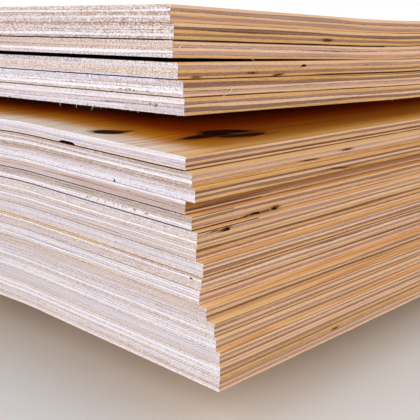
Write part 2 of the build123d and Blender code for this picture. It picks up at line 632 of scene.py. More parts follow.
@dataclass(frozen=True)
class TimberFinish:
    """Rough-sawn softwood, fresh for the bearers and dark for the spacers, as painted shade for
    the shadowed gap they stand in.
    """

    name: str = "sawn_timber"
    light: tuple = linear(206, 168, 116)
    dark: tuple = linear(150, 108, 66)

    def build(self) -> bpy.types.Material:
        """Return the finished material."""
        pad = NodePad(self.name)
        along, across, up = pad.split(pad.add("ShaderNodeTexCoord").outputs["Object"])
        grain = pad.noise(pad.spot((along, 1.5), (across, 60.0), (up, 60.0)), 5.0, 0.62, 0.3)
        saw = pad.noise(pad.spot((along, 260.0), (across, 5.0), (up, 5.0)), 1.0)
        colour = pad.ramp(grain, ((0.35, self.dark), (0.62, self.light)))
        height = pad.weigh((grain, 1.0), (saw, 0.5))
        return pad.finish(colour, height, 0.6 * MM, 0.8)


def lens(
    pad: NodePad, mark: Mark, along: Socket, across: Socket, waver: Socket, ragged: float
) -> Socket:
    """Return a field that is below 1 inside a mark's outline and grows outwards.

    Args:
        pad: The node tree.
        mark: The mark's middle and half sizes.
        along: The board coordinate that runs along the surface.
        across: The coordinate across it.
        waver: Noise that makes the outline uneven.
        ragged: How uneven it is.

    Returns:
        The field.
    """
    apart = pad.math("SUBTRACT", along, mark.along)
    side = pad.math("DIVIDE", apart, mark.half_along)
    height = pad.weigh((across, 1.0), (apart, -mark.tilt))
    rise = pad.math("DIVIDE", pad.math("SUBTRACT", height, mark.across), mark.half_across)
    radius = pad.math("SQRT", pad.math("ADD", pad.product(side, side), pad.product(rise, rise)))
    return pad.math("ADD", radius, pad.product(pad.math("SUBTRACT", waver, 0.5), ragged))


def add_marks(
    pad: NodePad, edge: EdgeLayers, colour: Socket, marks: Sequence[Mark], tints: tuple
) -> Socket:
    """Paint knots and stains on a sawn edge.

    Args:
        pad: The node tree.
        edge: Where on the edge a point is.
        colour: The colour so far.
        marks: The marks to paint.
        tints: The colours of their rim and of their core.

    Returns:
        The colour with the marks.
    """
    waver = edge.noise((240.0, 1.0, 2.2), 3.0, 0.6)
    for mark in marks:
        here = pad.product(pad.equals(edge.sheet, float(mark.sheet)), mark.depth)
        shape = lens(pad, mark, edge.along, edge.layer, waver, 1.6)
        for tint, low, high, share in zip(tints, (1.3, 0.85), (0.7, 0.4), (0.8, 1.0)):
            colour = pad.blend(pad.product(pad.band(shape, low, high), here, share), colour, tint)
    return colour


def add_lines(
    pad: NodePad, edge: EdgeLayers, colour: Socket, lines: Sequence[Line], waver: Socket
) -> Socket:
    """Paint coloured seams on a sawn edge.

    Args:
        pad: The node tree.
        edge: Where on the edge a point is.
        colour: The colour so far.
        lines: The seams to paint.
        waver: Noise that makes them come and go.

    Returns:
        The colour with the seams.
    """
    for line in lines:
        here = pad.product(pad.equals(edge.sheet, float(line.sheet)), line.share)
        span = pad.within(edge.layer, line.low - 0.1, line.high + 0.1, 0.1)
        if line.start > -ANYWHERE or line.stop < ANYWHERE:
            span = pad.product(span, pad.within(edge.along, line.start, line.stop, line.soft))
        share = pad.product(here, span, pad.band(waver, 0.25, 0.45))
        colour = pad.blend(share, colour, line.colour)
    return colour


def only_selected(piece: bpy.types.Object) -> None:
    """Make a piece the one selected and active object."""
    bpy.ops.object.select_all(action="DESELECT")
    piece.select_set(True)
    bpy.context.view_layer.objects.active = piece


def edit_selected(piece: bpy.types.Object, kind: Element, test: Callable[..., bool]) -> None:
    """Go into edit mode with only those parts of a mesh selected that pass a test.

    Args:
        piece: The object, which is in object mode.
        kind: Whether vertices, edges or faces are tested.
        test: Takes one of them.
    """
    only_selected(piece)
    bpy.ops.object.mode_set(mode="EDIT")
    bpy.ops.mesh.select_mode(type=kind.name)
    bpy.ops.mesh.select_all(action="DESELECT")
    bpy.ops.object.mode_set(mode="OBJECT")
    for element in getattr(piece.data, kind.value):
        element.select = test(element)
    bpy.ops.object.mode_set(mode="EDIT")


def add_block(size: Sequence[float], middle: Vector) -> bpy.types.Object:
    """Add a block.

    Args:
        size: Its three sides.
        middle: Its middle.

    Returns:
        The block, with its size and place in its mesh.
    """
    bpy.ops.object.select_all(action="DESELECT")
    bpy.ops.mesh.primitive_cube_add(size=1.0, location=middle)
    block = bpy.context.active_object
    block.scale = size
    bpy.ops.object.transform_apply(location=True, rotation=True, scale=True)
    return block


@dataclass(frozen=True)
class Fold:
    """A gentle bend across a sheet, worked as a row of small folds.

    start is where it begins along the axis, measured from the middle of the stack, and
    side is 1 or -1, the side of the middle that it is on. turn is in degrees, up being
    positive, and radius is that of the sheet's middle plane.
    """

    axis: Axis
    side: int
    start: float
    turn: float
    radius: float
    steps: int = 5

    def lines(self) -> list[float]:
        """Return where the small folds lie along the axis, signed."""
        arc = self.radius * math.radians(abs(self.turn))
        shares = [(step + 0.5) / self.steps for step in range(self.steps)]
        return [self.side * (self.start + arc * share) for share in shares]


@dataclass(frozen=True)
class Gap:
    """A gap between veneer strips that is open at an edge, with leaning sides.

    place is its middle along that edge in board coordinates. lean is how far its top
    is shifted along the edge and taper how wide its top is against its bottom.
    """

    side: Side
    ply: int
    place: float
    width: float
    depth: float
    lean: float = 0.0
    taper: float = 1.0
    fullness: float = 0.94


@dataclass(frozen=True)
class Knothole:
    """A knothole in the lowest ply that the saw cut through, wider at its underside."""

    side: Side
    place: float
    radius: float
    taper: float = 0.75
    sides: int = 17


@dataclass
class PlywoodSheet:
    """One sheet: five plies sawn to size, folded where it sags or lifts.

    swell is how much thicker the sheet has grown on its underside, which closes the
    seam below it, or thinner where it is negative.
    """

    node: str
    number: int
    length: float
    width: float
    ply: float
    middle: Vector
    folds: Sequence[Fold] = ()
    openings: Sequence[Union[Gap, Knothole]] = ()
    swell: float = 0.0
    recess: float = 0.3 * MM
    worn: float = 0.35 * MM
    reach: float = 1.0 * MM
    piece: Optional[bpy.types.Object] = field(default=None, init=False)

    @property
    def thickness(self) -> float:
        """Return the sheet's thickness."""
        return PLIES * self.ply

    @property
    def bottom(self) -> float:
        """Return the height of the flat sheet's underside."""
        return self.middle.z - self.thickness / 2

    def build(self) -> bpy.types.Object:
        """Model the sheet flat, store its flat coordinates and fold it into place.

        Returns:
            The sheet's object, at the origin, with its place in its mesh.
        """
        self._saw_blank()
        self._lay_up()
        self._wear_edges()
        for opening in self.openings:
            is_gap = isinstance(opening, Gap)
            self._cut_away(self._gap_cutter(opening) if is_gap else self._hole_cutter(opening))
        self._note_board()
        self._swell_underside()
        self._fold()
        return self.piece

    def _saw_blank(self) -> None:
        """Add a block of the sheet's size at its place."""
        self.piece = add_block((self.length, self.width, self.thickness), self.middle)
        self.piece.name = f"plywood_{self.node}"

    def _cut(self, axis: Axis, place: float) -> None:
        """Cut the whole sheet across an axis, which only adds edges."""
        bpy.ops.mesh.select_all(action="SELECT")
        bpy.ops.mesh.bisect(plane_co=axis.vector(place), plane_no=axis.vector(1.0))

    def _lay_up(self) -> None:
        """Cut the edges into plies and set the end grain back behind the long grain."""
        only_selected(self.piece)
        bpy.ops.object.mode_set(mode="EDIT")
        for ply in range(1, PLIES):
            self._cut(Axis.Z, self.bottom + ply * self.ply)
        for fold in self.folds:
            for place in fold.lines():
                self._cut(fold.axis, place)
        bpy.ops.object.mode_set(mode="OBJECT")
        for axis, parity in ((Axis.Y, 1), (Axis.X, 0)):
            for side in (1, -1):

                def end_grain(face: bpy.types.MeshPolygon) -> bool:
                    """Tell whether a face is end grain on this side."""
                    ply = int((face.center.z - self.bottom) / self.ply)
                    return face.normal[axis.value] * side > LOOKS_ALONG and ply % 2 == parity

                edit_selected(self.piece, Element.FACE, end_grain)
                step = axis.vector(-side * self.recess)
                bpy.ops.mesh.extrude_region_move(TRANSFORM_OT_translate={"value": step})
                bpy.ops.object.mode_set(mode="OBJECT")

    def _wear_edges(self) -> None:
        """Break the sharp edges round both faces."""
        mesh = self.piece.data
        normals = {}
        for polygon in mesh.polygons:
            for key in polygon.edge_keys:
                normals.setdefault(key, []).append(polygon.normal.copy())

        def on_rim(edge: bpy.types.MeshEdge) -> bool:
            """Tell whether an edge is sharp and lies on one of the two faces."""
            pair = normals[edge.key]
            sharp = len(pair) == 2 and abs(pair[0].dot(pair[1])) < SHARP
            heights = [abs(mesh.vertices[end].co.z - self.middle.z) for end in edge.key]
            return sharp and min(heights) > self.thickness / 2 - 0.01 * MM

        edit_selected(self.piece, Element.EDGE, on_rim)
        bpy.ops.mesh.bevel(offset=self.worn, segments=2, affect="EDGES")
        bpy.ops.object.mode_set(mode="OBJECT")

    def _mouth(self, opening: Union[Gap, Knothole], inset: float) -> tuple[Axis, Axis, Vector]:
        """Find where an opening lies in the flat sheet.

        Args:
            opening: The gap or knothole.
            inset: How far inside the edge its middle is.

        Returns:
            The axis along the edge, the one across it and the opening's middle.
        """
        along, inward = Axis.X, Axis.Y
        size = self.width
        if opening.side is Side.END_EDGE:
            along, inward = inward, along
            size = self.length
        middle = self.middle.copy()
        middle[along.value] += opening.place
        middle[inward.value] += inset - size / 2
        return along, inward, middle

    def _gap_cutter(self, gap: Gap) -> bpy.types.Object:
        """Model what a gap takes out of the sheet.

        Args:
            gap: The gap.

        Returns:
            A block in the gap's place that reaches out past the edge.
        """
        along, inward, middle = self._mouth(gap, (gap.depth - self.reach) / 2)
        middle.z = self.bottom + (gap.ply + 0.5) * self.ply
        size = Axis.Z.vector(self.ply * gap.fullness)
        size[along.value] = gap.width
        size[inward.value] = gap.depth + self.reach
        cutter = add_block(size, middle)
        edit_selected(cutter, Element.VERT, lambda vertex: vertex.co.z > middle.z)
        narrow = Vector((1.0, 1.0, 1.0))
        narrow[along.value] = gap.taper
        bpy.ops.transform.resize(value=narrow, center_override=middle)
        bpy.ops.transform.translate(value=along.vector(gap.lean))
        bpy.ops.object.mode_set(mode="OBJECT")
        return cutter

    def _hole_cutter(self, hole: Knothole) -> bpy.types.Object:
        """Model what a knothole takes out of the sheet.

        Args:
            hole: The knothole.

        Returns:
            A cone in the hole's place, through the lowest ply.
        """
        _, _, middle = self._mouth(hole, 0.0)
        depth = self.ply + self.reach
        middle.z = self.bottom + self.ply - depth / 2 - SAME_HEIGHT
        bpy.ops.object.select_all(action="DESELECT")
        bpy.ops.mesh.primitive_cone_add(
            vertices=hole.sides,
            radius1=hole.radius / hole.taper,
            radius2=hole.radius * hole.taper,
            depth=depth,
            location=middle,
        )
        bpy.ops.object.transform_apply(location=True, rotation=True, scale=True)
        return bpy.context.active_object

    def _cut_away(self, cutter: bpy.types.Object) -> None:
        """Take a cutter out of the sheet and delete it."""
        only_selected(self.piece)
        bpy.ops.object.modifier_add(type="BOOLEAN")
        modifier = self.piece.modifiers[-1]
        modifier.operation = "DIFFERENCE"
        modifier.solver = "EXACT"
        modifier.object = cutter
        bpy.ops.object.modifier_apply(modifier=modifier.name)
        only_selected(cutter)
        bpy.ops.object.delete()

    def _note_board(self) -> None:
        """Store the flat coordinates that the finishes read, and sort the faces by side."""
        mesh = self.piece.data
        board = mesh.attributes.new("board", "FLOAT_VECTOR", "POINT")
        layer = mesh.attributes.new("layer", "FLOAT_VECTOR", "POINT")
        for vertex in mesh.vertices:
            place = vertex.co - self.middle
            rise = vertex.co.z - self.bottom
            board.data[vertex.index].vector = (place.x, place.y, rise)
            layer.data[vertex.index].vector = (rise / self.ply, float(self.number), 0.0)
        for polygon in mesh.polygons:
            polygon.material_index = self._side(polygon).value

    def _side(self, polygon: bpy.types.MeshPolygon) -> Side:
        """Tell which side of the flat sheet a face belongs to.

        Args:
            polygon: The face.

        Returns:
            Its side, or the inside of a gap.
        """
        place = polygon.center - self.middle
        from_side = min(self.width / 2 - abs(place.y), self.length / 2 - abs(place.x))
        from_face = self.thickness / 2 - abs(place.z)
        sizes = [abs(part) for part in polygon.normal]
        if from_side > 2 * self.recess and from_face > 0.1 * MM:
            return Side.CAVITY
        if sizes[1] >= max(sizes[0], sizes[2]) - 0.01:
            return Side.LONG_EDGE
        return Side.END_EDGE if sizes[0] >= sizes[2] - 0.01 else Side.FACE

    def _swell_underside(self) -> None:
        """Move the lower half of the lowest ply down, or up where the sheet is thinner."""
        if self.swell:
            level = self.bottom + self.ply / 2
            edit_selected(self.piece, Element.VERT, lambda vertex: vertex.co.z < level)
            bpy.ops.transform.translate(value=Axis.Z.vector(-self.swell))
            bpy.ops.object.mode_set(mode="OBJECT")

    def _fold(self) -> None:
        """Turn everything past each small fold, from the middle of the sheet outwards."""
        board = self.piece.data.attributes["board"].data
        flat = [data.vector.copy() + self.middle for data in board]
        for fold in self.folds:
            for place in fold.lines():
                self._turn_past(flat, fold, place)

    def _turn_past(self, flat: list[Vector], fold: Fold, place: float) -> None:
        """Turn the part of the sheet beyond one small fold.

        Args:
            flat: The flat place of each vertex.
            fold: The bend that the small fold is part of.
            place: Where the small fold lies in the flat sheet.
        """
        runs = [old[fold.axis.value] - place for old in flat]
        hinge = [
            vertex.co.copy()
            for vertex, run in zip(self.piece.data.vertices, runs)
            if abs(run) < SAME_PLACE
        ]
        low = min(hinge, key=lambda spot: spot.z)
        high = max(hinge, key=lambda spot: spot.z)

        def past(vertex: bpy.types.MeshVertex) -> bool:
            """Tell whether a vertex lies beyond the small fold."""
            return runs[vertex.index] * fold.side > SAME_PLACE

        edit_selected(self.piece, Element.VERT, past)
        name, way = ("X", -1) if fold.axis is Axis.Y else ("Y", 1)
        bpy.ops.transform.rotate(
            value=way * math.radians(fold.turn / fold.steps) * fold.side,
            orient_axis=name,
            orient_type="GLOBAL",
            center_override=(low + high) / 2,
        )
        bpy.ops.object.mode_set(mode="OBJECT")

    def edge_spot(self, side: Side, place: float, top: bool = False) -> Vector:
        """Find a point on the near rim of the folded sheet.

        Args:
            side: The long side or the short end.
            place: How far along that edge, in board coordinates.
            top: Whether the upper rim is meant instead of the lower one.

        Returns:
            The point.
        """
        along, inward = (0, 1) if side is Side.LONG_EDGE else (1, 0)
        rise = self.thickness if top else 0.0
        mesh = self.piece.data
        rim = []
        for vertex, data in zip(mesh.vertices, mesh.attributes["board"].data):
            if abs(data.vector.z - rise) < SAME_HEIGHT:
                rim.append((data.vector.copy(), vertex.co.copy()))
        outermost = min(flat[inward] for flat, _ in rim)
        rim = [pair for pair in rim if pair[0][inward] < outermost + 0.5 * MM]

        def run(pair: tuple[Vector, Vector]) -> float:
            """Return how far along the edge a rim point lies."""
            return pair[0][along]

        before = max((pair for pair in rim if run(pair) <= place), key=run)
        after = min((pair for pair in rim if run(pair) > place), key=run)
        share = (place - run(before)) / (run(after) - run(before))
        return before[1].lerp(after[1], share)


@dataclass(frozen=True)
class Sliver:
    """A torn splinter: where it hangs on, where its tip is and how it bows, in metres."""

    root: Vector
    tip: Vector
    bow: Vector
    thickness: float
    sides: int = 5

    def build(self) -> bpy.types.Object:
        """Model the splinter as a bent spike.

        Returns:
            Its object, with its place in its mesh.
        """
        run = self.tip - self.root
        middle = (self.root + self.tip) / 2
        bpy.ops.object.select_all(action="DESELECT")
        bpy.ops.mesh.primitive_cone_add(
            vertices=self.sides,
            radius1=self.thickness / 2,
            radius2=self.thickness / 8,
            depth=run.length,
            location=middle,
            rotation=run.to_track_quat("Z", "Y").to_euler(),
        )
        piece = bpy.context.active_object
        bpy.ops.object.transform_apply(location=True, rotation=True, scale=True)
        bpy.ops.object.mode_set(mode="EDIT")
        bpy.ops.mesh.select_all(action="SELECT")
        bpy.ops.mesh.bisect(plane_co=middle, plane_no=run.normalized())
        bpy.ops.object.mode_set(mode="OBJECT")

        def halfway(vertex: bpy.types.MeshVertex) -> bool:
            """Tell whether a vertex lies on the cut halfway up the spike."""
            return abs((vertex.co - middle).dot(run.normalized())) < run.length / 10

        edit_selected(piece, Element.VERT, halfway)
        bpy.ops.transform.translate(value=self.bow)
        bpy.ops.object.mode_set(mode="OBJECT")
        return piece


@dataclass
class Stack:
    """The two lifts of sheets and the timber that carries them."""

    nodes: dict
    lower_ply: float = 3.0 * MM
    upper_ply: float = 3.6 * MM
    upper_count: int = 6
    sheet_count: int = 22
    length: float = 2.4397
    width: float = 1.22
    sag_run: float = 0.310
    sag_angle: float = 2.6
    sag_radius: float = 0.900
    curl_run: float = 0.500
    curl_angle: float = 1.31
    curl_radius: float = 3.0
    wedge_run: float = 0.380
    wedge_angle: float = 0.647
    wedge_sheets: int = 3
    whiskers: int = 40
    whisker_seed: int = 11
    whisker_run: tuple = (4, 420)
    splinters: int = 36
    splinter_seed: int = 7
    splinter_run: tuple = (20, 1400)
    chip_seed: int = 5
    sheets: dict = field(default_factory=dict, init=False)

    def corner(self, along: float) -> float:
        """Return the board coordinate of a place so many millimetres from the near end."""
        return along * MM - self.length / 2

    def depth(self, across: float) -> float:
        """Return the board coordinate of a place so many millimetres from the near side."""
        return across * MM - self.width / 2

    def openings(self) -> dict[int, tuple]:
        """Return the gaps and knotholes that open at the edges, by the sheet's number."""
        side, end = Side.LONG_EDGE, Side.END_EDGE
        return {
            4: (Gap(side, 3, self.corner(217.5), 12 * MM, 40 * MM, 3 * MM, 0.5, 0.75),),
            7: (Knothole(end, self.depth(201), 13.5 * MM),),
            11: (
                Knothole(side, self.corner(105.5), 9.5 * MM),
                Knothole(side, self.corner(141), 5 * MM),
            ),
            12: (Gap(side, 3, self.corner(45), 15 * MM, 40 * MM, 5.5 * MM, 0.25),),
            15: (Gap(end, 3, self.depth(15), 4.5 * MM, 25 * MM, 1.5 * MM, 0.7, 0.5),),
        }

    def swells(self) -> dict[int, float]:
        """Return how much thicker or thinner some sheets are at their underside."""
        thick = {8: 0.7, 9: 0.7, 12: 0.7, 13: 0.5, 14: 0.6, 15: 0.5, 16: 0.7}
        thin = {2: -0.9, 3: -0.1, 4: -0.8, 5: -0.75, 7: -0.5, 11: 0.1}
        return {number: rise * MM for number, rise in (thick | thin).items()}

    def lower_sheet(self, number: int) -> PlywoodSheet:
        """Return a sheet of the lower lift, placed by its CAD node.

        Args:
            number: The sheet's number, from the top.

        Returns:
            The sheet, not yet built.
        """
        low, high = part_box(f"sheet_{number:02d}")
        _, lift_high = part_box(f"sheet_{self.sheet_count:02d}")
        thickness = PLIES * self.lower_ply
        slide = -(low.y + high.y) / 2 / math.cos(math.radians(self.sag_angle))
        middle = Vector((0.0, -slide, high.z - thickness / 2))
        radius = self.sag_radius + middle.z - (lift_high.z - thickness)
        start = self.width / 2 - self.sag_run
        folds = [Fold(Axis.Y, side, start, -self.sag_angle, radius) for side in (1, -1)]
        return self._sheet(number, self.lower_ply, middle, folds)

    def upper_sheet(self, number: int) -> PlywoodSheet:
        """Return a sheet of the upper lift, placed by its CAD node.

        Args:
            number: The sheet's number, from the top.

        Returns:
            The sheet, not yet built.
        """
        low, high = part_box(f"sheet_{number:02d}")
        lift_low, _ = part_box(f"sheet_{self.upper_count:02d}")
        middle = Vector((0.0, (low.y + high.y) / 2, low.z + PLIES * self.upper_ply / 2))
        radius = self.curl_radius - (middle.z - lift_low.z)
        half = self.length / 2
        folds = [Fold(Axis.X, -1, half - self.curl_run, self.curl_angle, radius)]
        if number <= self.wedge_sheets:
            folds.append(Fold(Axis.X, -1, half - self.wedge_run, self.wedge_angle, radius))
        return self._sheet(number, self.upper_ply, middle, folds)

    def _sheet(
        self, number: int, ply: float, middle: Vector, folds: Sequence[Fold]
    ) -> PlywoodSheet:
        """Return a sheet with its own openings and swell.

        Args:
            number: The sheet's number, from the top.
            ply: How thick its plies are.
            middle: The flat sheet's middle.
            folds: Its bends.

        Returns:
            The sheet, not yet built.
        """
        return PlywoodSheet(
            node=f"sheet_{number:02d}",
            number=number,
            length=self.length,
            width=self.width,
            ply=ply,
            middle=middle,
            folds=folds,
            openings=self.openings().get(number, ()),
            swell=self.swells().get(number, 0.0),
        )

    def build(self) -> list[bpy.types.Object]:
        """Model every sheet and the splinters that hang from their edges.

        Returns:
            The new pieces: the sheets from the top down, then the splinters.
        """
        pieces = []
        for number in range(1, self.sheet_count + 1):
            upper = number <= self.upper_count
            sheet = self.upper_sheet(number) if upper else self.lower_sheet(number)
            piece = sheet.build()
            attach(piece, "root")
            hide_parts(sheet.node)
            self.sheets[number] = sheet
            pieces.append(piece)
        splinters = self._splinters()
        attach(splinters, "root")
        splinters.data.materials.append(SplinterFinish().build())
        return [*pieces, splinters]

    def _splinters(self) -> bpy.types.Object:
        """Model the splinters and join them.

        Returns:
            One object that holds them all.
        """
        pieces = [sliver.build() for sliver in [*self._end_slivers(), *self._side_slivers()]]
        bpy.ops.object.select_all(action="DESELECT")
        for piece in pieces:
            piece.select_set(True)
        bpy.context.view_layer.objects.active = pieces[0]
        bpy.ops.object.join()
        pieces[0].name = "edge_splinters"
        return pieces[0]

    def _end_slivers(self) -> list[Sliver]:
        """Return the whiskers that hang under the sawn end of the upper lift's lowest sheet."""
        sheet = self.sheets[self.upper_count]
        slivers = []
        for across, slant, drop in (
            (209.6, 0.5, 4.5),
            (179.0, -0.5, 5.0),
            (147.5, 4.0, 5.5),
            (133.5, 0.3, 2.0),
            (95.7, 2.6, 1.4),
            (72.6, -2.8, 2.2),
        ):
            root = sheet.edge_spot(Side.END_EDGE, self.depth(across))
            root += Vector((0.6, 0.0, 0.3)) * MM
            tip = root + Vector((-0.4, slant, -drop)) * MM
            slivers.append(Sliver(root, tip, Vector((-0.1, 0.3, 0.0)) * MM, 0.7 * MM))
        chooser = random.Random(self.whisker_seed)
        for _ in range(self.whiskers):
            spot = self.depth(chooser.uniform(*self.whisker_run))
            root = sheet.edge_spot(Side.END_EDGE, spot) + Vector((0.5, 0.0, 0.3)) * MM
            run = Vector((-0.3, chooser.uniform(-0.9, 0.9), chooser.uniform(-1.6, -0.7)))
            slivers.append(Sliver(root, root + run * MM, Vector((0.0, 0.1, 0.0)) * MM, 0.7 * MM))
        return slivers

    def _side_slivers(self) -> list[Sliver]:
        """Return the splinters along the near long side."""
        slivers = []
        for number, along, rise, run, bow, thickness in (
            (5, 77.0, 9.4, (-21.0, -2.4, -10.7), (7.0, 0.4, 0.0), 1.6),
            (3, 8.0, 9.5, (8.0, -1.4, 8.0), (-0.6, -0.5, 0.0), 1.4),
            (3, 128.0, 0.2, (4.0, -1.0, -3.0), (-1.0, -0.3, 0.5), 1.0),
        ):
            root = self.sheets[number].edge_spot(Side.LONG_EDGE, self.corner(along))
            root += Vector((0.0, -0.3, rise)) * MM
            tip = root + Vector(run) * MM
            slivers.append(Sliver(root, tip, Vector(bow) * MM, thickness * MM))
        chooser = random.Random(self.splinter_seed)
        for _ in range(self.splinters):
            sheet = self.sheets[chooser.randint(2, self.sheet_count - 1)]
            spot = self.corner(chooser.uniform(*self.splinter_run))
            root = sheet.edge_spot(Side.LONG_EDGE, spot) + Vector((0.0, 0.4, 0.2)) * MM
            run = Vector((chooser.uniform(-5, 5), -0.7, chooser.uniform(-2.2, 0.4)))
            bow = Vector((0.0, -0.2, chooser.uniform(-0.4, 0.4)))
            slivers.append(Sliver(root, root + run * MM, bow * MM, chooser.uniform(0.4, 0.8) * MM))
        return slivers

    def _face_marks(self) -> tuple[Mark, ...]:
        """Return the knots in the veneer on top of the lower lift; the rows' places are in mm."""
        top = self.upper_count + 1
        rows = (
            (37, 169, 0.016, 0.016, 1.0, -0.3),
            (58, 161, 0.012, 0.004, 0.8, -0.3),
            (116, 79, 0.036, 0.009),
            (163, 88, 0.028, 0.013, 1.0, -0.4),
            (140, 84, 0.018, 0.015, 0.9),
            (161, 56, 0.036, 0.009, 0.9, -0.15),
        )
        return tuple(
            Mark(top, self.corner(along), self.depth(across), *rest)
            for along, across, *rest in rows
        )

    def _side_marks(self) -> tuple[Mark, ...]:
        """Return the knots and stains along the near long side, and painted shade round sheet 12's
        gap; the rows' places are in mm.
        """
        rows = (
            (4, 167, 0.5, 0.014, 0.6, 1.0, 28.0),
            (4, 121, 1.5, 0.013, 0.5, 0.9),
            (4, 27, 0.6, 0.010, 0.6, 0.7),
            (4, 362, 3.3, 0.006, 0.3, 0.5),
            (8, 290, 3.0, 0.017, 0.55, 1.0),
            (8, 209, 1.5, 0.026, 0.45, 0.9, -11.0),
            (9, 268, 1.25, 0.034, 0.55, 0.9, -20.0),
            (2, 276, 1.7, 0.016, 0.75, 1.0),
            (11, 92, 0.55, 0.016, 0.5, 0.8, 30.0),
            (11, 122, 0.5, 0.020, 0.5, 0.8),
            (11, 143, 0.9, 0.011, 0.9, 0.9),
            # Painted shade round the top of sheet 12's gap.
            (12, 44, 4.0, 0.012, 0.7, 1.0, 40.0),
            (12, 27, 4.2, 0.012, 0.35, 0.8),
            (22, 218, 4.2, 0.009, 0.8, 0.75),
        )
        return tuple(Mark(sheet, self.corner(along), *rest) for sheet, along, *rest in rows)

    def _side_lines(self) -> tuple[Line, ...]:
        """Return the coloured lines along the near long side: ply stripes, painted seam shadows
        and painted shadow under an overhang.
        """
        gold = linear(226, 158, 60)
        # Brown paints dark ply stripes and, in rows at a sheet's top or bottom ply, painted seam
        # shadow.
        brown = linear(88, 46, 22)
        purple = linear(116, 80, 68)
        # The next two colours are painted shadow on sheet 10's upper plies, under sheet 9's
        # overhang.
        overhang_shadow_olive = linear(116, 76, 26)
        overhang_shadow_amber = linear(196, 132, 50)
        # Painted seam shadow, the dark of the thin gaps between sheets.
        seam = linear(64, 32, 12)
        rows = (
            (3, 4.75, 5.0, seam, 0.9, -9, 420),
            (4, 0.0, 0.4, seam, 1.0, 215, 1600, 0.06),
            (5, 4.72, 5.0, seam, 0.9, 200, 1600, 0.1),
            (5, 0.0, 0.2, brown, 0.9, -9, 190, 0.03),
            (7, 1.15, 1.6, brown, 0.7),
            (7, 3.1, 3.9, purple, 0.5),
            (9, 3.15, 3.85, purple, 0.75),
            # Painted shadow of sheet 9's overhang on sheet 10's upper plies.
            (10, 2.6, 5.0, overhang_shadow_amber, 1.0),
            (10, 3.4, 3.9, overhang_shadow_olive, 0.5),
            (10, 2.1, 2.6, brown, 0.5),
            (11, 4.7, 5.0, brown, 0.8, -9, 70),
            (12, 4.65, 5.1, seam, 1.0, -9, 105),
            (10, 0.0, 0.25, brown, 0.9, -9, 130),
            (11, 0.0, 0.35, seam, 1.0, -9, 96),
            (14, 0.0, 0.3, brown, 0.9),
            (14, 4.7, 5.0, brown, 0.7),
            (18, 0.0, 0.3, seam, 0.8),
            (10, 1.0, 1.5, brown, 0.85, -9, 150),
            (10, 0.95, 2.1, linear(180, 140, 112), 0.9, 60, 1600, 0.12),
            (9, 4.65, 5.0, gold, 0.8),
            (15, 4.65, 5.0, gold, 0.8),
            (17, 4.65, 5.0, gold, 0.8),
            (17, 0.3, 0.95, linear(198, 150, 106), 0.6),
            (18, 4.05, 4.7, linear(230, 188, 150), 0.8),
            (18, 4.7, 5.0, brown, 0.8),
            (20, 4.7, 5.0, brown, 0.8),
        )
        return lines_from(rows, self.corner)

    def _end_marks(self) -> tuple[Mark, ...]:
        """Return the chips and dots along the near short end."""
        chooser = random.Random(self.chip_seed)
        marks = []
        for sheet, near, far, layer, count in (
            (5, 54, 100, 1.2, 7),
            (6, 20, 130, 2.2, 4),
            (6, 120, 330, 0.05, 8),
            (11, 64, 142, 1.5, 9),
            (11, 150, 178, 1.5, 3),
        ):
            for _ in range(count):
                place = self.depth(chooser.uniform(near, far))
                height = layer + chooser.uniform(-0.25, 0.25)
                half = chooser.uniform(0.0012, 0.0035)
                marks.append(Mark(sheet, place, height, half, chooser.uniform(0.2, 0.4), 0.7))
        marks.append(Mark(9, self.depth(129), 0.5, 0.002, 0.6))
        marks.append(Mark(10, self.depth(91), 3.0, 0.003, 0.3, 0.6))
        return tuple(marks)

    def _end_lines(self) -> tuple[Line, ...]:
        """Return the coloured strips along the near short end."""
        white = linear(250, 244, 248)
        lilac = linear(226, 216, 228)
        pink = linear(200, 170, 154)
        brown = linear(176, 152, 136)
        cream = linear(240, 234, 228)
        rows = (
            (3, 0.9, 1.9, white, 0.8),
            (3, 2.1, 4.8, linear(222, 190, 170), 0.8),
            (4, 1.2, 3.2, linear(232, 202, 178), 0.7),
            (4, 3.9, 5.0, linear(212, 196, 204), 0.8, 162, 700),
            (4, 3.9, 4.8, cream, 0.7, 0, 160),
            (5, 3.9, 4.9, lilac, 0.7),
            (5, 3.3, 3.8, pink, 0.6, 0, 150),
            (5, 4.2, 5.0, pink, 0.7, -10, 40),
            (5, 2.0, 2.9, white, 0.8),
            (6, 3.4, 4.8, white, 0.7),
            (6, 0.2, 2.8, lilac, 0.6),
            (6, 0.3, 1.8, linear(204, 190, 194), 0.7, -10, 95),
            (6, 2.0, 2.4, linear(176, 146, 132), 0.8, -10, 130),
            (7, 3.9, 5.0, white, 0.8),
            (7, 2.0, 3.4, lilac, 0.7),
            (8, 1.4, 2.3, white, 0.9),
            (9, 0.3, 2.3, linear(242, 238, 252), 0.8),
            (10, 3.8, 5.0, white, 1.0),
            (10, 0.0, 3.7, linear(204, 178, 166), 0.6, 170, 900, 0.06),
            (10, 0.0, 3.7, linear(194, 158, 142), 0.75, -60, 230, 0.06),
            (11, 2.6, 5.0, brown, 0.7),
            (11, 0.4, 1.2, white, 0.9),
            (11, 0.0, 0.15, linear(150, 106, 66), 0.8),
            (12, 4.0, 5.0, lilac, 0.6),
            (15, 4.3, 5.0, linear(238, 184, 104), 0.9, 150, 900),
            (15, 4.65, 5.0, linear(196, 134, 66), 0.9, -10, 150),
        )
        return lines_from(rows, self.depth)

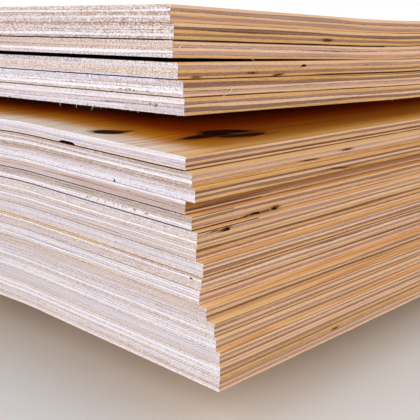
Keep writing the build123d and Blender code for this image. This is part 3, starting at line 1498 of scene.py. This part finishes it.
    def _covered_face(self, name: str, marks: tuple) -> bpy.types.Material:
        """Return the finish of a face in the gap between the lifts: paler at the short ends, with
        painted bounce light and painted shade that darken it further into the gap.
        """
        return FaceFinish(
            name=name,
            side=linear(232, 190, 114),
            end=linear(255, 249, 244),
            grain=linear(232, 208, 180),
            # Painted light: warm bounce light near the edges, then painted shade, darkest furthest
            # into the gap.
            warm_side=linear(212, 150, 48),
            warm_end=linear(252, 196, 54),
            inner_glow_and_shade=linear(234, 122, 4),
            gap_shade=linear(98, 36, 2),
            marks=marks,
        ).build()

    def _shut_in_face(self) -> bpy.types.Material:
        """Return the finish of a face in a tight seam: painted seam shade, dark all over but for
        its long rims.
        """
        # Painted shade of the tight seam, over the whole face but its long rims.
        dark = linear(64, 36, 18)
        return FaceFinish(
            name="shut_in_face",
            side=linear(244, 200, 142),
            end=linear(244, 200, 142),
            grain=linear(230, 196, 160),
            warm_side=dark,
            warm_end=dark,
            inner_glow_and_shade=dark,
            gap_shade=dark,
            side_fades=((0.010, 0.022),) * 3,
            end_fades=((-0.2, -0.1),) * 3,
        ).build()

    def dress(self) -> None:
        """Give every sheet and timber its finish."""
        open_face = FaceFinish().build()
        covered = self._covered_face("covered_face", ())
        knotty = self._covered_face("covered_face_with_knots", self._face_marks())
        shut_in = self._shut_in_face()
        faces = {
            1: open_face,
            self.upper_count: covered,
            self.upper_count + 1: knotty,
            self.sheet_count: open_face,
        }
        long_edge = LongEdgeFinish(lines=self._side_lines(), marks=self._side_marks()).build()
        end_edge = EndEdgeFinish(lines=self._end_lines(), marks=self._end_marks()).build()
        cavity = CavityFinish().build()
        for number, sheet in self.sheets.items():
            for finish in (faces.get(number, shut_in), long_edge, end_edge, cavity):
                sheet.piece.data.materials.append(finish)
        # The spacers' dark colour is painted shade for the shadowed gap between the lifts.
        shade_dark_spacer_finish = TimberFinish("weathered_timber", linear(74, 50, 34), linear(44, 28, 18))
        timbers = {"bearer": TimberFinish().build(), "spacer": shade_dark_spacer_finish.build()}
        for name, node in self.nodes.items():
            kind = name.split("_")[0]
            if kind in timbers:
                node.data.materials.clear()
                node.data.materials.append(timbers[kind])


@dataclass
class Studio:
    """A pale floor, soft lamps and the camera."""

    focal: float = 824.1
    image: float = 420.0
    sensor: float = 36.0
    yaw: float = 47.40
    pitch: float = 12.776
    roll: float = -0.226
    eye: tuple = (-1.8325, -1.2152, 0.4614)
    nearest: float = 0.01
    lamps: tuple = (
        ("key_lamp", (-3.8, -0.6, 1.4), 2.4, 49.0, (0.97, 0.98, 1.0)),
        ("fill_lamp", (1.5, -4.0, 2.2), 3.0, 88.0, (1.0, 0.97, 0.93)),
    )
    lamp_aim: tuple = (-1.0, -0.5, 0.25)
    floor_size: float = 60.0
    floor_drop: float = 0.5 * MM
    floor_colour: tuple = linear(232, 230, 227)
    sky_colour: tuple = (0.93, 0.95, 1.0, 1.0)
    sky_strength: float = 0.55

    def build(self) -> None:
        """Set up the floor, the lights, the world and the camera."""
        self._floor()
        self._world()
        for lamp in self.lamps:
            self._lamp(*lamp)
        self._camera()
        bpy.context.scene.view_settings.view_transform = "Standard"

    def _floor(self) -> None:
        """Lay a large pale floor under the stack."""
        bpy.ops.object.select_all(action="DESELECT")
        bpy.ops.mesh.primitive_plane_add(size=self.floor_size, location=(0, 0, -self.floor_drop))
        floor = bpy.context.active_object
        floor.name = "floor"
        pad = NodePad("pale_floor")
        pad.shader.inputs["Base Color"].default_value = self.floor_colour
        pad.shader.inputs["Roughness"].default_value = 0.9
        floor.data.materials.append(pad.material)

    def _world(self) -> None:
        """Give the world an even pale light that the camera sees as white."""
        world = bpy.data.worlds.new("studio_world")
        world.use_nodes = True
        bpy.context.scene.world = world
        tree = world.node_tree
        light = tree.nodes["Background"]
        light.inputs["Color"].default_value = self.sky_colour
        light.inputs["Strength"].default_value = self.sky_strength
        white = tree.nodes.new("ShaderNodeBackground")
        white.inputs["Color"].default_value = (1.0, 1.0, 1.0, 1.0)
        white.inputs["Strength"].default_value = 1.0
        path = tree.nodes.new("ShaderNodeLightPath")
        mix = tree.nodes.new("ShaderNodeMixShader")
        tree.links.new(path.outputs["Is Camera Ray"], mix.inputs[0])
        tree.links.new(light.outputs[0], mix.inputs[1])
        tree.links.new(white.outputs[0], mix.inputs[2])
        tree.links.new(mix.outputs[0], tree.nodes["World Output"].inputs["Surface"])

    def _lamp(self, name: str, place: tuple, size: float, power: float, colour: tuple) -> None:
        """Add a soft area lamp that points at the stack's near corner.

        Args:
            name: The lamp's name.
            place: Where it stands.
            size: The length of its side.
            power: Its power in watts.
            colour: Its colour.
        """
        lamp = bpy.data.lights.new(name, "AREA")
        lamp.size = size
        lamp.energy = power
        lamp.color = colour
        holder = bpy.data.objects.new(name, lamp)
        holder.location = place
        aim = Vector(self.lamp_aim) - Vector(place)
        holder.rotation_euler = aim.to_track_quat("-Z", "Y").to_euler()
        bpy.context.scene.collection.objects.link(holder)

    def _camera(self) -> None:
        """Add the camera at the photograph's angle."""
        camera = bpy.data.cameras.new("camera")
        camera.sensor_width = self.sensor
        camera.lens = self.focal / self.image * self.sensor
        camera.clip_start = self.nearest
        holder = bpy.data.objects.new("camera", camera)
        turn = (
            Matrix.Rotation(math.radians(-self.yaw), 4, "Z")
            @ Matrix.Rotation(math.radians(90.0 - self.pitch), 4, "X")
            @ Matrix.Rotation(math.radians(-self.roll), 4, "Z")
        )
        holder.matrix_world = Matrix.Translation(self.eye) @ turn
        bpy.context.scene.collection.objects.link(holder)
        bpy.context.scene.camera = holder


def main() -> None:
    """Build the sheets, dress everything and set up the studio."""
    logging.basicConfig(level=logging.INFO)
    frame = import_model()
    stack = Stack(frame["nodes"])
    for piece in stack.build():
        LOG.info("%s: %d faces", piece.name, len(piece.data.polygons))
    stack.dress()
    Studio().build()


if __name__ == "__main__":
    main()
